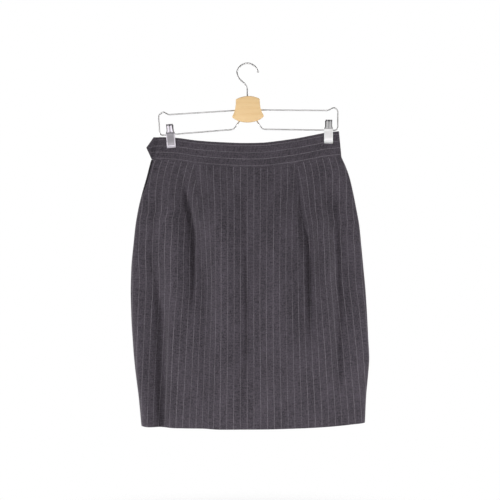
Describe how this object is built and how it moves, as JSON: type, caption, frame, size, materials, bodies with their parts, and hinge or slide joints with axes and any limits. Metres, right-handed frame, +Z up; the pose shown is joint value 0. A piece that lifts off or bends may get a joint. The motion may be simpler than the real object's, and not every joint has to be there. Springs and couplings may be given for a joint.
{
  "type": "pencil skirt on a clip hanger",
  "caption": "Pinstripe pencil skirt with waist darts and a waistband with a pointed underlap, hanging by its waistband from a wire and wood clip hanger.",
  "frame": {"origin": "inner top of the hanger's hook, where a rail carries it", "axes": "+Z up, -Y out of the skirt's front, +X to the right as one looks at the front"},
  "size_m": [0.477, 0.0613, 0.7304],
  "materials": {
    "cloth": "worsted pinstripe",
    "zip": "woven tape",
    "wire": "polished wire",
    "steel": "pressed and plated",
    "wood": "satin lacquer"
  },
  "bodies": {
    "root": {"front_panel": "cloth", "back_panel": "cloth", "waistband_front": "cloth", "waistband_back": "cloth", "side_zip": "zip", "hanger_hook": "wire", "hanger_block": "wood", "frame_left": "wire", "frame_right": "wire", "clip_left_front": "steel", "clip_left_back": "steel", "clip_left_sleeve": "steel", "clip_right_front": "steel", "clip_right_back": "steel", "clip_right_sleeve": "steel"}
  },
  "joints": []
}
